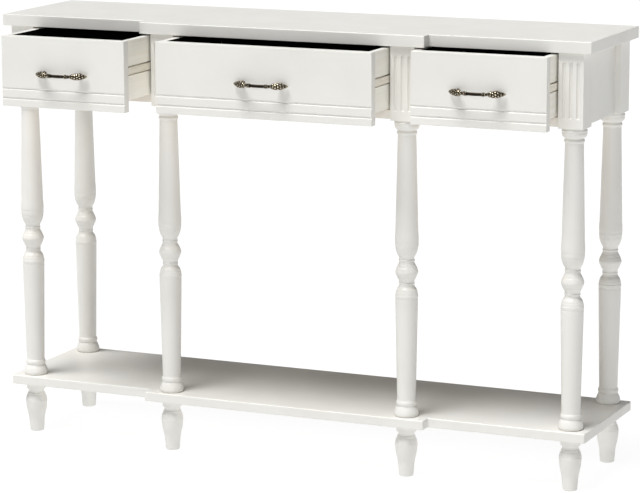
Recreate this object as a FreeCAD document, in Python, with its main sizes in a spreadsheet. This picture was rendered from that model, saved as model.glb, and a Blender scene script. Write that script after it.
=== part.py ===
import FreeCAD
import Part
import math
import os
import Sketcher

# A breakfront console table: a long top with a deeper middle, six turned legs with fluted posts
# above them, a lower shelf on six turned feet, and three drawers on grooved metal runners.
# Frame: +X to the table's right, +Y to its back, +Z up, in millimetres. The origin lies on the
# floor under the centre of the tabletop. At rest each drawer stands pulled out by its own amount.

SIZES = {
    # tabletop
    "top_width": 1200.0,
    "top_depth": 300.0,
    "top_thick": 22.0,
    "middle_width": 580.0,
    "middle_step": 25.0,
    "top_edge_round": 1.5,
    # posts that carry the top, and what is set into them
    "post_size": 48.0,
    "post_height": 137.5,
    "post_side_inset": 16.0,
    "post_front_inset": 6.0,
    "post_back_inset": 4.0,
    "inner_post_spacing": 490.0,
    "flute_width": 6.6,
    "flute_pitch": 13.6,
    "flute_foot_gap": 18.0,
    "flute_head_gap": 16.0,
    # panels and rails of the case
    "side_panel_thick": 15.0,
    "side_panel_inset": 13.0,
    "back_panel_thick": 12.0,
    "back_panel_inset": 3.0,
    "partition_thick": 18.0,
    "rail_height": 17.0,
    "rail_depth": 30.0,
    "rail_gap": 1.5,
    "batten_height": 30.0,
    # lower shelf
    "shelf_thick": 18.0,
    "shelf_end_inset": 3.0,
    "shelf_edge_round": 2.0,
    # fasteners
    "dowel_diameter": 8.0,
    "dowel_length": 30.0,
    "top_dowel_depth": 13.0,
    "stud_diameter": 8.0,
    "stud_length": 70.0,
    # drawers
    "front_thick": 18.0,
    "front_side_gap": 3.0,
    "front_top_gap": 3.5,
    "box_side_inset": 1.0,
    "box_side_thick": 12.0,
    "box_back_thick": 12.0,
    "box_bottom_thick": 5.0,
    "box_groove_depth": 6.0,
    "box_rail_clear": 4.5,
    "box_bottom_lift": 8.0,
    "box_back_gap": 8.0,
    "groove_width": 5.0,
    "groove_depth": 2.2,
    "upper_groove_height": 34.0,
    "lower_groove_height": 15.5,
    "left_pull": 128.0,
    "middle_pull": 80.0,
    "right_pull": 52.0,
    # drawer runners
    "runner_length": 210.0,
    "runner_level": 76.5,
    "runner_setback": 4.0,
    "runner_slot_height": 18.0,
    "runner_slot_depth": 6.0,
    "channel_sheet": 1.0,
    "case_channel_height": 17.0,
    "case_channel_depth": 8.0,
    "drawer_channel_height": 13.0,
    "drawer_channel_depth": 7.5,
    # bow handles
    "handle_level": 65.0,
    "handle_centres": 76.0,
    "handle_projection": 25.0,
    "handle_end_lift": 12.0,
    "handle_bar_diameter": 7.0,
    "handle_end_length": 34.0,
    "handle_end_diameter": 12.6,
    "handle_tip_diameter": 2.4,
    "handle_end_slope": 25.0,
    "handle_boss_diameter": 8.0,
    "screw_diameter": 4.0,
    "screw_bite": 6.0,
    "screw_head_diameter": 8.0,
    "screw_head_height": 2.5,
    # turned leg, diameters and heights from the shelf or down from the post
    "leg_length": 558.0,
    "leg_base_sole_dia": 42.0,
    "leg_base_height": 18.5,
    "leg_base_top_dia": 37.4,
    "leg_base_round": 14.0,
    "leg_ring_dia": 38.0,
    "leg_ring_low": 21.0,
    "leg_ring_height": 8.5,
    "leg_ankle_dia": 35.3,
    "leg_calf_dia": 42.8,
    "leg_calf_level": 231.0,
    "leg_calf_round": 40.0,
    "leg_low_neck_dia": 28.2,
    "leg_low_neck_level": 251.0,
    "leg_ball_low": 256.0,
    "leg_ball_height": 37.0,
    "leg_ball_edge_dia": 28.6,
    "leg_ball_round": 26.5,
    "leg_high_neck_dia": 27.8,
    "leg_high_neck_level": 297.0,
    "leg_thigh_dia": 44.0,
    "leg_thigh_level": 326.0,
    "leg_thigh_round": 60.0,
    "leg_shaft_top_dia": 34.4,
    "leg_bead_drop": 29.0,
    "leg_bead_height": 8.0,
    "leg_bead_round": 5.3,
    "leg_cove_drop": 17.0,
    "leg_cove_dia": 33.5,
    "leg_cove_round": 9.0,
    "leg_collar_dia": 45.0,
    "leg_collar_height": 8.0,
    # turned foot, heights from the floor or down from the shelf
    "foot_height": 97.5,
    "foot_sole_dia": 26.0,
    "foot_toe_dia": 30.0,
    "foot_toe_level": 17.0,
    "foot_toe_round": 40.0,
    "foot_belly_dia": 41.6,
    "foot_belly_drop": 40.5,
    "foot_belly_round": 120.0,
    "foot_shoulder_round": 18.0,
    "foot_neck_dia": 31.0,
    "foot_neck_drop": 19.5,
    "foot_cove_round": 6.0,
    "foot_collar_dia": 38.0,
    "foot_collar_height": 13.5,
}


class Size:
    """A length that knows both its number and the sheet expression that it comes from."""

    def __init__(self, number, text):
        self.number = float(number)
        self.text = text

    def _join(self, sign, other, number):
        return Size(number, f"({self.text} {sign} {other.text})")

    def __add__(self, other):
        other = as_size(other)
        return self._join("+", other, self.number + other.number)

    def __sub__(self, other):
        other = as_size(other)
        return self._join("-", other, self.number - other.number)

    def __mul__(self, other):
        other = as_size(other)
        return self._join("*", other, self.number * other.number)

    def __truediv__(self, other):
        other = as_size(other)
        return self._join("/", other, self.number / other.number)

    def __neg__(self):
        return self * -1


def as_size(value):
    """Give a plain number the form of a Size."""
    return value if isinstance(value, Size) else Size(value, f"({value})")


def sheet_size(name):
    """The size that the spreadsheet holds under this alias."""
    return Size(SIZES[name], f"Sizes.{name}")


def fill_sheet():
    """Write every driving size into the spreadsheet, one row each, with its alias."""
    sheet = doc.addObject("Spreadsheet::Sheet", "Sizes")
    for row, (alias, value) in enumerate(SIZES.items(), start=1):
        sheet.set(f"A{row}", alias)
        sheet.set(f"B{row}", str(value))
        sheet.setAlias(f"B{row}", alias)
    doc.recompute()


doc = FreeCAD.newDocument("ConsoleTable")
fill_sheet()
S = {name: sheet_size(name) for name in SIZES}
ZERO = as_size(0)
NODES = []


# ---------------------------------------------------------------- helpers

def node(piece, label):
    """Name a finished sub-part and put it on the list that is written out."""
    piece.Label = label
    NODES.append(piece)
    return piece


def bind(piece, **sizes):
    """Bind properties of an object to sizes; a double underscore stands for a dot."""
    for name, size in sizes.items():
        piece.setExpression(name.replace("__", "."), size.text)


def place(piece, x=ZERO, y=ZERO, z=ZERO):
    """Bind an object's place to sizes."""
    for axis, size in zip("xyz", (x, y, z)):
        piece.setExpression(f"Placement.Base.{axis}", size.text)


def board(name, low, high):
    """A rectangular board between two corners, each a tuple of three sizes."""
    box = doc.addObject("Part::Box", name)
    bind(box, Length=high[0] - low[0], Width=high[1] - low[1], Height=high[2] - low[2])
    place(box, *low)
    return box


def rod(name, start, axis, diameter, length):
    """A round rod from a start point along +X, +Y, -Y or +Z."""
    turn = {
        "+X": FreeCAD.Rotation(FreeCAD.Vector(0, 1, 0), 90),
        "+Y": FreeCAD.Rotation(FreeCAD.Vector(1, 0, 0), -90),
        "-Y": FreeCAD.Rotation(FreeCAD.Vector(1, 0, 0), 90),
        "+Z": FreeCAD.Rotation(),
    }[axis]
    cylinder = doc.addObject("Part::Cylinder", name)
    cylinder.Placement = FreeCAD.Placement(FreeCAD.Vector(), turn)
    bind(cylinder, Radius=diameter / 2, Height=length)
    place(cylinder, *start)
    return cylinder


def cut(name, base, *tools):
    """The base with each tool taken away from it."""
    for number, tool in enumerate(tools):
        result = doc.addObject("Part::Cut", f"{name}_cut{number}")
        result.Base = base
        result.Tool = tool
        base = result
    return base


def fuse(name, *pieces):
    """One solid from several that overlap or touch."""
    result = doc.addObject("Part::MultiFuse", name)
    result.Shapes = list(pieces)
    result.Refine = True
    return result


def group(name, pieces):
    """Separate solids kept together as one node."""
    result = doc.addObject("Part::Compound", name)
    result.Links = list(pieces)
    return result


def new_sketch(body, role, name):
    """A sketch on one of the body's own origin planes."""
    sketch = body.newObject("Sketcher::SketchObject", name)
    plane = next(item for item in body.Origin.OriginFeatures if item.Role == role)
    sketch.AttachmentSupport = [(plane, "")]
    sketch.MapMode = "FlatFace"
    return sketch


def constrain(sketch, name, size, *where):
    """Add a dimension to a sketch and bind it to a size."""
    index = sketch.addConstraint(Sketcher.Constraint(*where, size.number))
    sketch.renameConstraint(index, name)
    sketch.setExpression(f"Constraints.{name}", size.text)


def arc_between(start, end, radius):
    """The shorter arc between two points, drawn anticlockwise as a sketch needs it.

    A positive radius bulges to the right of the way from start to end, a negative one to the left.
    """
    chord = end - start
    half = chord.Length / 2
    size = abs(radius)
    rise = size - math.sqrt(max(size * size - half * half, 0.0))
    side = FreeCAD.Vector(chord.y, -chord.x, 0).normalize() * math.copysign(rise, radius)
    middle = start + chord / 2 + side
    return Part.Arc(start, middle, end) if radius > 0 else Part.Arc(end, middle, start)


def draw_outline(sketch, points, rounds=None):
    """Draw a closed outline through points, with arcs where rounds gives edge: (radius, sign)."""
    rounds = rounds or {}
    spots = [FreeCAD.Vector(x.number, y.number, 0) for x, y in points]
    count = len(points)
    for edge in range(count):
        start, end = spots[edge], spots[(edge + 1) % count]
        if edge in rounds:
            radius, sign = rounds[edge]
            sketch.addGeometry(arc_between(start, end, sign * radius.number))
        else:
            sketch.addGeometry(Part.LineSegment(start, end))
    ends = [edge_ends(sketch.Geometry[edge], spots[edge]) for edge in range(count)]
    for edge in range(count):
        following = (edge + 1) % count
        sketch.addConstraint(Sketcher.Constraint(
            "Coincident", edge, ends[edge][1], following, ends[following][0]))
    for edge, (x, y) in enumerate(points):
        constrain(sketch, f"x{edge}", x, "DistanceX", -1, 1, edge, ends[edge][0])
        constrain(sketch, f"y{edge}", y, "DistanceY", -1, 1, edge, ends[edge][0])
    for edge, (radius, _) in rounds.items():
        constrain(sketch, f"r{edge}", radius, "Radius", edge)


def edge_ends(geometry, start):
    """The numbers of a geometry's own first and last point, in the order it is drawn."""
    from_first = geometry.StartPoint.distanceToPoint(start)
    from_last = geometry.EndPoint.distanceToPoint(start)
    return (1, 2) if from_first < from_last else (2, 1)


def new_body(name, x=ZERO, y=ZERO, z=ZERO):
    """An empty body at a place."""
    body = doc.addObject("PartDesign::Body", name)
    place(body, x, y, z)
    return body


def pad(body, sketch, length, symmetric=False, reversed_way=False):
    """Give a sketch its thickness."""
    feature = body.newObject("PartDesign::Pad", sketch.Name + "_pad")
    feature.Profile = sketch
    feature.SideType = "Symmetric" if symmetric else "One side"
    feature.Reversed = reversed_way
    bind(feature, Length=length)
    return feature


def revolve(body, sketch, kind="PartDesign::Revolution", axis="V_Axis"):
    """Turn a sketch a full turn about one of its own axes."""
    feature = body.newObject(kind, sketch.Name + "_turned")
    feature.Profile = sketch
    feature.ReferenceAxis = (sketch, [axis])
    feature.Angle = 360
    return feature


def round_edges(body, feature, radius, chosen):
    """Round those edges of a feature for which chosen(edge) is true."""
    doc.recompute()
    names = [f"Edge{number}" for number, edge in enumerate(feature.Shape.Edges, start=1)
             if chosen(edge)]
    fillet = body.newObject("PartDesign::Fillet", feature.Name + "_round")
    fillet.Base = (feature, names)
    bind(fillet, Radius=radius)


# ---------------------------------------------------------------- levels and planes

SHELF_BOTTOM = S["foot_height"]
SHELF_TOP = SHELF_BOTTOM + S["shelf_thick"]
CASE_BOTTOM = SHELF_TOP + S["leg_length"]
CASE_TOP = CASE_BOTTOM + S["post_height"]
TABLE_TOP = CASE_TOP + S["top_thick"]

HALF_POST = S["post_size"] / 2
WING_FRONT = S["middle_step"] - S["top_depth"] / 2
MIDDLE_FRONT = -S["top_depth"] / 2
TOP_BACK = S["top_depth"] / 2

WING_PLANE = WING_FRONT + S["post_front_inset"]
MIDDLE_PLANE = MIDDLE_FRONT + S["post_front_inset"]
REAR_PLANE = TOP_BACK - S["post_back_inset"]
OUTER_FACE = S["top_width"] / 2 - S["post_side_inset"]

OUTER_X = OUTER_FACE - HALF_POST
INNER_X = S["inner_post_spacing"] / 2
FRONT_Y = WING_PLANE + HALF_POST
INNER_Y = MIDDLE_PLANE + HALF_POST
REAR_Y = REAR_PLANE - HALF_POST

SIDES = {"left": -1, "right": 1}
SUPPORTS = {}
for side, hand in SIDES.items():
    SUPPORTS[f"front_{side}"] = (OUTER_X * hand, FRONT_Y)
    SUPPORTS[f"inner_{side}"] = (INNER_X * hand, INNER_Y)
    SUPPORTS[f"rear_{side}"] = (OUTER_X * hand, REAR_Y)

BACK_PANEL_FRONT = REAR_PLANE - S["back_panel_inset"] - S["back_panel_thick"]
PANEL_OUTER = OUTER_FACE - S["side_panel_inset"]
PANEL_INNER = PANEL_OUTER - S["side_panel_thick"]
OUTER_WALL = OUTER_X - HALF_POST
INNER_WALL_OUT = INNER_X + HALF_POST
INNER_WALL_IN = INNER_X - HALF_POST
PARTITION_OUT = INNER_X + S["partition_thick"] / 2
PARTITION_IN = INNER_X - S["partition_thick"] / 2

# Each bay: its walls' x, its closed drawer plane, its drawer's pull, and what the battens sit on.
BAYS = {
    "left": (-OUTER_WALL, -INNER_WALL_OUT, WING_PLANE, S["left_pull"],
             -PANEL_INNER, -PARTITION_OUT),
    "middle": (-INNER_WALL_IN, INNER_WALL_IN, MIDDLE_PLANE, S["middle_pull"],
               -PARTITION_IN, PARTITION_IN),
    "right": (INNER_WALL_OUT, OUTER_WALL, WING_PLANE, S["right_pull"],
              PARTITION_OUT, PANEL_INNER),
}
# A wing's rail passes behind the inner post and ends against the partition.
RAIL_ENDS = {
    "left": (-OUTER_WALL, -PARTITION_OUT),
    "middle": (-INNER_WALL_IN, INNER_WALL_IN),
    "right": (PARTITION_OUT, OUTER_WALL),
}
RUNNER_Z = CASE_BOTTOM + S["runner_level"]


# ---------------------------------------------------------------- dowels and studs

def paired_levels():
    """The two heights at which a panel is dowelled to its neighbour."""
    low = CASE_BOTTOM + S["flute_foot_gap"] + S["dowel_diameter"]
    high = CASE_TOP - S["flute_head_gap"] - S["dowel_diameter"]
    return (low, high)


def make_dowels():
    """Every wooden dowel of the case, each half in one piece and half in the next."""
    half = S["dowel_length"] / 2
    starts = []
    for x, y in SUPPORTS.values():
        starts.append(((x, y, CASE_TOP + S["top_dowel_depth"] - S["dowel_length"]), "+Z"))
    back_mid = BACK_PANEL_FRONT + S["back_panel_thick"] / 2
    panel_mid = (PANEL_OUTER + PANEL_INNER) / 2
    for hand in SIDES.values():
        for z in paired_levels():
            starts.append(((panel_mid * hand, FRONT_Y + HALF_POST - half, z), "+Y"))
            starts.append(((panel_mid * hand, REAR_Y - HALF_POST - half, z), "+Y"))
            starts.append(((OUTER_WALL * hand - half, back_mid, z), "+X"))
            starts.append(((INNER_X * hand, INNER_Y + HALF_POST - half, z), "+Y"))
    rail_z = CASE_BOTTOM + S["rail_height"] / 2
    for name, (_, _, plane, *_) in BAYS.items():
        rail_mid = plane + S["front_thick"] + S["rail_gap"] + S["dowel_diameter"]
        for x in RAIL_ENDS[name]:
            starts.append(((x - half, rail_mid, rail_z), "+X"))
    rods = [rod(f"dowel_{number}", start, axis, S["dowel_diameter"], S["dowel_length"])
            for number, (start, axis) in enumerate(starts)]
    return group("dowel_group", rods)


def make_studs():
    """The steel studs that join each leg to its post and each foot to its leg."""
    half = S["stud_length"] / 2
    rods = []
    for name, (x, y) in SUPPORTS.items():
        for end, centre in (("upper", CASE_BOTTOM), ("lower", (SHELF_TOP + SHELF_BOTTOM) / 2)):
            start = (x, y, centre - half)
            rods.append(rod(f"stud_{end}_{name}", start, "+Z", S["stud_diameter"],
                            S["stud_length"]))
    return group("stud_group", rods)


# ---------------------------------------------------------------- top and shelf

def breakfront_outline(end_inset):
    """The eight corners of a board with a deeper middle, seen from above."""
    half = S["top_width"] / 2 - end_inset
    step = S["middle_width"] / 2
    return [(-half, WING_FRONT), (-step, WING_FRONT), (-step, MIDDLE_FRONT),
            (step, MIDDLE_FRONT), (step, WING_FRONT), (half, WING_FRONT),
            (half, TOP_BACK), (-half, TOP_BACK)]


def breakfront_board(name, end_inset, bottom, thick, edge_round):
    """A breakfront board with its top edges rounded."""
    body = new_body(name, z=bottom)
    sketch = new_sketch(body, "XY_Plane", name + "_outline")
    draw_outline(sketch, breakfront_outline(end_inset))
    slab = pad(body, sketch, thick)
    round_edges(body, slab, edge_round, lambda edge: edge.BoundBox.ZMin > thick.number - 0.01)
    return body


# ---------------------------------------------------------------- posts, legs and feet

def make_post(name, x, y, fluted):
    """A square post that carries the top; the front ones have three round-ended flutes."""
    body = new_body(f"post_body_{name}", x, y, CASE_BOTTOM)
    sketch = new_sketch(body, "XY_Plane", f"post_section_{name}")
    draw_outline(sketch, [(-HALF_POST, -HALF_POST), (HALF_POST, -HALF_POST),
                          (HALF_POST, HALF_POST), (-HALF_POST, HALF_POST)])
    pad(body, sketch, S["post_height"])
    if fluted:
        add_flutes(body, name)
    return body


def add_flutes(body, name):
    """Cut three upright half-round flutes, with ball ends, into the post's front face."""
    sketch = new_sketch(body, "XZ_Plane", f"flute_{name}")
    bind(sketch, AttachmentOffset__Base__z=HALF_POST,
         AttachmentOffset__Base__x=-S["flute_pitch"])
    radius = S["flute_width"] / 2
    low = S["flute_foot_gap"]
    high = S["post_height"] - S["flute_head_gap"]
    draw_outline(sketch, [(ZERO, low), (radius, low + radius), (radius, high - radius),
                          (ZERO, high)],
                 {0: (radius, 1), 2: (radius, 1)})
    flute = revolve(body, sketch, "PartDesign::Groove")
    row = body.newObject("PartDesign::LinearPattern", f"flute_row_{name}")
    row.Originals = [flute]
    row.Direction = (sketch, ["H_Axis"])
    row.Occurrences = 3
    bind(row, Length=S["flute_pitch"] * 2)
    body.Tip = row


def turned(name, x, y, z, points, rounds):
    """A turned piece: half of its outline spun about its own upright axis."""
    body = new_body(name, x, y, z)
    sketch = new_sketch(body, "XZ_Plane", name + "_profile")
    draw_outline(sketch, points, rounds)
    revolve(body, sketch)
    return body


def make_leg(name, x, y):
    """A turned leg: base ring, lower shaft, ball between two necks, long upper shaft, collar."""
    top = S["leg_length"]
    ring = S["leg_ring_dia"] / 2
    ring_top = S["leg_ring_low"] + S["leg_ring_height"]
    ball_edge = S["leg_ball_edge_dia"] / 2
    ball_top = S["leg_ball_low"] + S["leg_ball_height"]
    shaft_top = S["leg_shaft_top_dia"] / 2
    bead_low = top - S["leg_bead_drop"]
    collar_low = top - S["leg_collar_height"]
    collar = S["leg_collar_dia"] / 2
    cove = S["leg_cove_dia"] / 2
    points = [
        (ZERO, ZERO), (S["leg_base_sole_dia"] / 2, ZERO),
        (S["leg_base_top_dia"] / 2, S["leg_base_height"]), (ring, S["leg_ring_low"]),
        (ring, ring_top), (S["leg_ankle_dia"] / 2, ring_top),
        (S["leg_calf_dia"] / 2, S["leg_calf_level"]),
        (S["leg_low_neck_dia"] / 2, S["leg_low_neck_level"]),
        (ball_edge, S["leg_ball_low"]), (ball_edge, ball_top),
        (S["leg_high_neck_dia"] / 2, S["leg_high_neck_level"]),
        (S["leg_thigh_dia"] / 2, S["leg_thigh_level"]),
        (shaft_top, bead_low), (shaft_top, bead_low + S["leg_bead_height"]),
        (cove, top - S["leg_cove_drop"]), (collar, collar_low), (collar, top), (ZERO, top),
    ]
    rounds = {
        1: (S["leg_base_round"], 1), 6: (S["leg_calf_round"], 1),
        8: (S["leg_ball_round"], 1), 10: (S["leg_thigh_round"], 1), 12: (S["leg_bead_round"], 1),
        14: (S["leg_cove_round"], -1),
    }
    return turned(f"leg_body_{name}", x, y, SHELF_TOP, points, rounds)


def make_foot(name, x, y):
    """A turned foot: slim toe, full belly, neck and collar under the shelf."""
    top = S["foot_height"]
    collar = S["foot_collar_dia"] / 2
    points = [
        (ZERO, ZERO), (S["foot_sole_dia"] / 2, ZERO), (S["foot_toe_dia"] / 2, S["foot_toe_level"]),
        (S["foot_belly_dia"] / 2, top - S["foot_belly_drop"]),
        (S["foot_neck_dia"] / 2, top - S["foot_neck_drop"]),
        (collar, top - S["foot_collar_height"]), (collar, top), (ZERO, top),
    ]
    rounds = {
        1: (S["foot_toe_round"], 1), 2: (S["foot_belly_round"], 1),
        3: (S["foot_shoulder_round"], 1), 4: (S["foot_cove_round"], -1),
    }
    return turned(f"foot_body_{name}", x, y, ZERO, points, rounds)


# ---------------------------------------------------------------- case

def make_side_panel(hand):
    """The end panel between a front post and the rear post behind it."""
    xs = sorted((PANEL_INNER * hand, PANEL_OUTER * hand), key=lambda size: size.number)
    return board("side_panel_board", (xs[0], FRONT_Y + HALF_POST, CASE_BOTTOM),
                 (xs[1], REAR_Y - HALF_POST, CASE_TOP))


def make_back_panel():
    """The long panel between the rear posts."""
    return board("back_panel_board", (-OUTER_WALL, BACK_PANEL_FRONT, CASE_BOTTOM),
                 (OUTER_WALL, BACK_PANEL_FRONT + S["back_panel_thick"], CASE_TOP))


def make_partition(hand):
    """The board that runs from an inner post to the back panel."""
    xs = sorted((PARTITION_IN * hand, PARTITION_OUT * hand), key=lambda size: size.number)
    return board("partition_board", (xs[0], INNER_Y + HALF_POST, CASE_BOTTOM),
                 (xs[1], BACK_PANEL_FRONT, CASE_TOP))


def make_rail(name, plane):
    """The low rail under a drawer, set back so that the closed front covers it."""
    left, right = RAIL_ENDS[name]
    front = plane + S["front_thick"] + S["rail_gap"]
    return board("rail_board", (left, front, CASE_BOTTOM),
                 (right, front + S["rail_depth"], CASE_BOTTOM + S["rail_height"]))


def make_rail_notches():
    """The corners that the inner posts take out of the wings' rails."""
    notches = [board("rail_notch", (centre - HALF_POST, MIDDLE_PLANE, CASE_BOTTOM),
                     (centre + HALF_POST, MIDDLE_PLANE + S["post_size"],
                      CASE_BOTTOM + S["rail_height"]))
               for centre in (-INNER_X, INNER_X)]
    return group("rail_notches", notches)


def make_battens(name, walls, seats):
    """The two battens of a bay, which bring the runner's seat flush with the posts."""
    half = S["batten_height"] / 2
    pair = []
    for wall, seat in zip(walls, seats):
        xs = sorted((wall, seat), key=lambda size: size.number)
        if abs(wall.number) == OUTER_WALL.number:
            ys = (FRONT_Y + HALF_POST, REAR_Y - HALF_POST)
        else:
            ys = (INNER_Y + HALF_POST, BACK_PANEL_FRONT)
        pair.append(board(f"batten_{name}", (xs[0], ys[0], RUNNER_Z - half),
                          (xs[1], ys[1], RUNNER_Z + half)))
    return group(f"battens_{name}", pair)


def channel(name, web_x, inward, y, height, depth):
    """A runner's channel: a web at web_x with two flanges that reach inward by its depth."""
    half = height / 2
    sheet = S["channel_sheet"]
    tip = depth * inward
    web = sheet * inward
    body = new_body(name, web_x, y, RUNNER_Z)
    sketch = new_sketch(body, "XZ_Plane", name + "_section")
    draw_outline(sketch, [(ZERO, -half), (tip, -half), (tip, sheet - half), (web, sheet - half),
                          (web, half - sheet), (tip, half - sheet), (tip, half), (ZERO, half)])
    pad(body, sketch, S["runner_length"], reversed_way=True)
    return body


# ---------------------------------------------------------------- drawers

BOX_BOTTOM = CASE_BOTTOM + S["rail_height"] + S["box_rail_clear"]
FRONT_TOP = CASE_TOP - S["front_top_gap"]
PANEL_LOW = BOX_BOTTOM + S["box_bottom_lift"]
PANEL_HIGH = PANEL_LOW + S["box_bottom_thick"]
HANDLE_Z = CASE_BOTTOM + S["handle_level"]


def make_front(name, left, right, plane):
    """A drawer front with two level V grooves across its lower part."""
    width = right - left - S["front_side_gap"] * 2
    body = new_body(f"{name}_front_body", (left + right) / 2, plane, CASE_BOTTOM)
    sketch = new_sketch(body, "YZ_Plane", f"{name}_front_section")
    half = S["groove_width"] / 2
    depth = S["groove_depth"]
    height = FRONT_TOP - CASE_BOTTOM
    points = [(ZERO, ZERO), (S["front_thick"], ZERO), (S["front_thick"], height), (ZERO, height)]
    for level in (S["upper_groove_height"], S["lower_groove_height"]):
        points += [(ZERO, level + half), (depth, level), (ZERO, level - half)]
    draw_outline(sketch, points)
    pad(body, sketch, width, symmetric=True)
    return body


def make_handle(name, x, plane):
    """A bow handle: curved bar, two leaf-shaped ends and the bosses that stand on the front."""
    half = S["handle_centres"] / 2
    rise = S["handle_projection"] - S["handle_bar_diameter"] / 2 - S["handle_end_lift"]
    pieces = [make_bow(name, x, plane - S["handle_end_lift"] - rise, half, rise)]
    for side, hand in SIDES.items():
        end_x = x + half * hand
        pieces.append(make_leaf(f"{name}_leaf_{side}", end_x, plane - S["handle_end_lift"], hand))
        pieces.append(rod(f"{name}_handle_boss", (end_x, plane, HANDLE_Z), "-Y",
                          S["handle_boss_diameter"], S["handle_end_lift"]))
    return fuse(f"{name}_handle_whole", *pieces)


def make_leaf(name, x, y, hand):
    """A handle's end: a pointed spindle turned about its own long axis and sloped to the front."""
    body = new_body(name, x, y, HANDLE_Z)
    body.Placement.Rotation = FreeCAD.Rotation(FreeCAD.Vector(0, 0, 1), 0)
    bind(body, Placement__Rotation__Angle=S["handle_end_slope"] * hand)
    sketch = new_sketch(body, "XY_Plane", name + "_profile")
    half = S["handle_end_length"] / 2
    tip = S["handle_tip_diameter"] / 2
    swell = S["handle_end_diameter"] / 2 - tip
    radius = (half * half + swell * swell) / (swell * 2)
    draw_outline(sketch, [(-half, ZERO), (half, ZERO), (half, tip), (-half, tip)],
                 {2: (radius, 1)})
    revolve(body, sketch, axis="H_Axis")
    return body


def make_bow(name, x, y, half, rise):
    """The bar: a round section swung through the bow's arc, half of it to each side."""
    body = new_body(f"{name}_bow_body", x, y, HANDLE_Z)
    section = new_sketch(body, "YZ_Plane", f"{name}_bow_section")
    radius = S["handle_bar_diameter"] / 2
    section.addGeometry(Part.Circle(FreeCAD.Vector(), FreeCAD.Vector(0, 0, 1), radius.number))
    section.addConstraint(Sketcher.Constraint("Coincident", 0, 3, -1, 1))
    constrain(section, "radius", radius, "Radius", 0)
    bow = (half * half + rise * rise) / (rise * 2)
    section.addGeometry(Part.LineSegment(FreeCAD.Vector(bow.number, 0, 0),
                                         FreeCAD.Vector(bow.number, radius.number, 0)), True)
    constrain(section, "bow_low", bow, "DistanceX", -1, 1, 1, 1)
    constrain(section, "bow_high", bow, "DistanceX", -1, 1, 1, 2)
    swing = Size(2 * math.degrees(math.asin(half.number / bow.number)),
                 f"(2 * asin({half.text} / {bow.text}))")
    feature = revolve(body, section, axis="Axis0")
    feature.Midplane = True
    bind(feature, Angle=swing)
    return body


def make_handle_screws(name, x, plane):
    """Two screws that pass through the front from inside and bite into the handle's bosses."""
    screws = []
    for hand in SIDES.values():
        screw_x = x + S["handle_centres"] / 2 * hand
        back = plane + S["front_thick"]
        shank = rod(f"{name}_shank", (screw_x, back, HANDLE_Z), "-Y", S["screw_diameter"],
                    S["front_thick"] + S["screw_bite"])
        head = rod(f"{name}_head", (screw_x, back, HANDLE_Z), "+Y", S["screw_head_diameter"],
                   S["screw_head_height"])
        screws.append(fuse(f"{name}_screw", shank, head))
    return group(f"{name}_screws", screws)


def make_drawer(name, left, right, plane, pull):
    """One drawer: front, two grooved sides, back, bottom, runner channels, handle and screws."""
    at_rest = plane - pull
    box_front = at_rest + S["front_thick"]
    box_back = BACK_PANEL_FRONT - S["box_back_gap"] - pull
    inset = S["front_side_gap"] + S["box_side_inset"]
    faces = (left + inset, right - inset)
    inner = (faces[0] + S["box_side_thick"], faces[1] - S["box_side_thick"])
    groove = S["box_groove_depth"]
    back_front = box_back - S["box_back_thick"]
    bottom = board(f"{name}_bottom_board", (inner[0] - groove, box_front - groove, PANEL_LOW),
                   (inner[1] + groove, back_front + groove, PANEL_HIGH))
    screws = make_handle_screws(name, (left + right) / 2, at_rest)
    front = cut(f"{name}_front", make_front(name, left, right, at_rest), bottom, screws)
    node(front, f"{name}_drawer_front")
    half_slot = S["runner_slot_height"] / 2
    pair = []
    for side, face, wall, hand in zip(SIDES, faces, inner, (1, -1)):
        xs = sorted((face, wall), key=lambda size: size.number)
        side_board = board(f"{name}_{side}_board", (xs[0], box_front, BOX_BOTTOM),
                           (xs[1], box_back, FRONT_TOP))
        floor = face + S["runner_slot_depth"] * hand
        slot_xs = sorted((face, floor), key=lambda size: size.number)
        slot = board(f"{name}_{side}_slot", (slot_xs[0], box_front, RUNNER_Z - half_slot),
                     (slot_xs[1], box_back, RUNNER_Z + half_slot))
        node(cut(f"{name}_{side}", side_board, slot, bottom), f"{name}_drawer_side_{side}")
        pair.append(channel(f"{name}_{side}_channel", floor - S["drawer_channel_depth"] * hand,
                            hand, box_front, S["drawer_channel_height"],
                            S["drawer_channel_depth"]))
    back = board(f"{name}_back_board", (inner[0], back_front, BOX_BOTTOM),
                 (inner[1], box_back, FRONT_TOP))
    node(cut(f"{name}_back", back, bottom), f"{name}_drawer_back")
    node(bottom, f"{name}_drawer_bottom")
    node(group(f"{name}_channels", pair), f"{name}_drawer_runners")
    node(cut(f"{name}_handle", make_handle(name, (left + right) / 2, at_rest), screws),
         f"{name}_handle")
    node(screws, f"{name}_handle_screws")


# ---------------------------------------------------------------- assembly

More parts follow.
